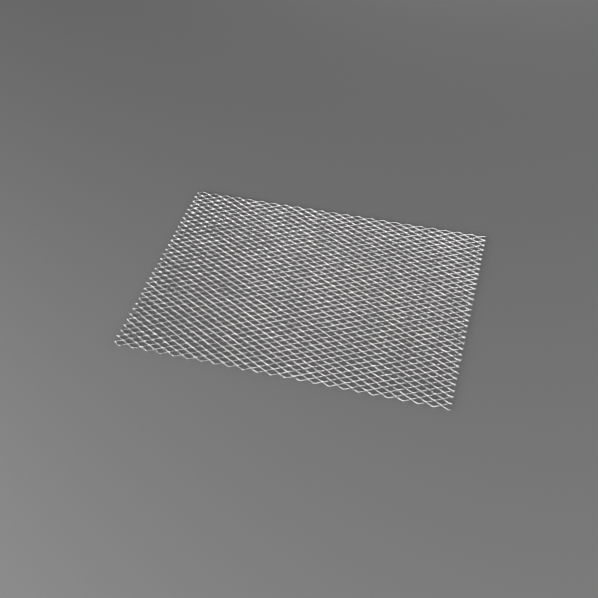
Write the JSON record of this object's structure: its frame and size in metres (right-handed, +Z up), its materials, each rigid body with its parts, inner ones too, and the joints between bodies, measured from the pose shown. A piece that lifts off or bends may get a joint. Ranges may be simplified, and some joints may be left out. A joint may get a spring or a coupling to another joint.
{
  "type": "expanded metal sheet",
  "caption": "Rectangular sheet of raised expanded metal: slit and stretched aluminium with diamond openings, laid flat, for guards, grilles and fencing.",
  "frame": {"origin": "centre of the sheet's outline, on the floor that it lies on", "axes": "+X along the long way of the diamonds and the sheet's length, +Y across the sheet, +Z up"},
  "size_m": [0.4, 0.3016, 0.0025],
  "materials": {
    "bare_aluminium": "bright bare sheet metal, satin on the faces and raw on the slit edges"
  },
  "bodies": {
    "root": {"mesh_band_1": "bare_aluminium", "mesh_band_2": "bare_aluminium", "mesh_band_3": "bare_aluminium", "mesh_band_4": "bare_aluminium"}
  },
  "joints": []
}
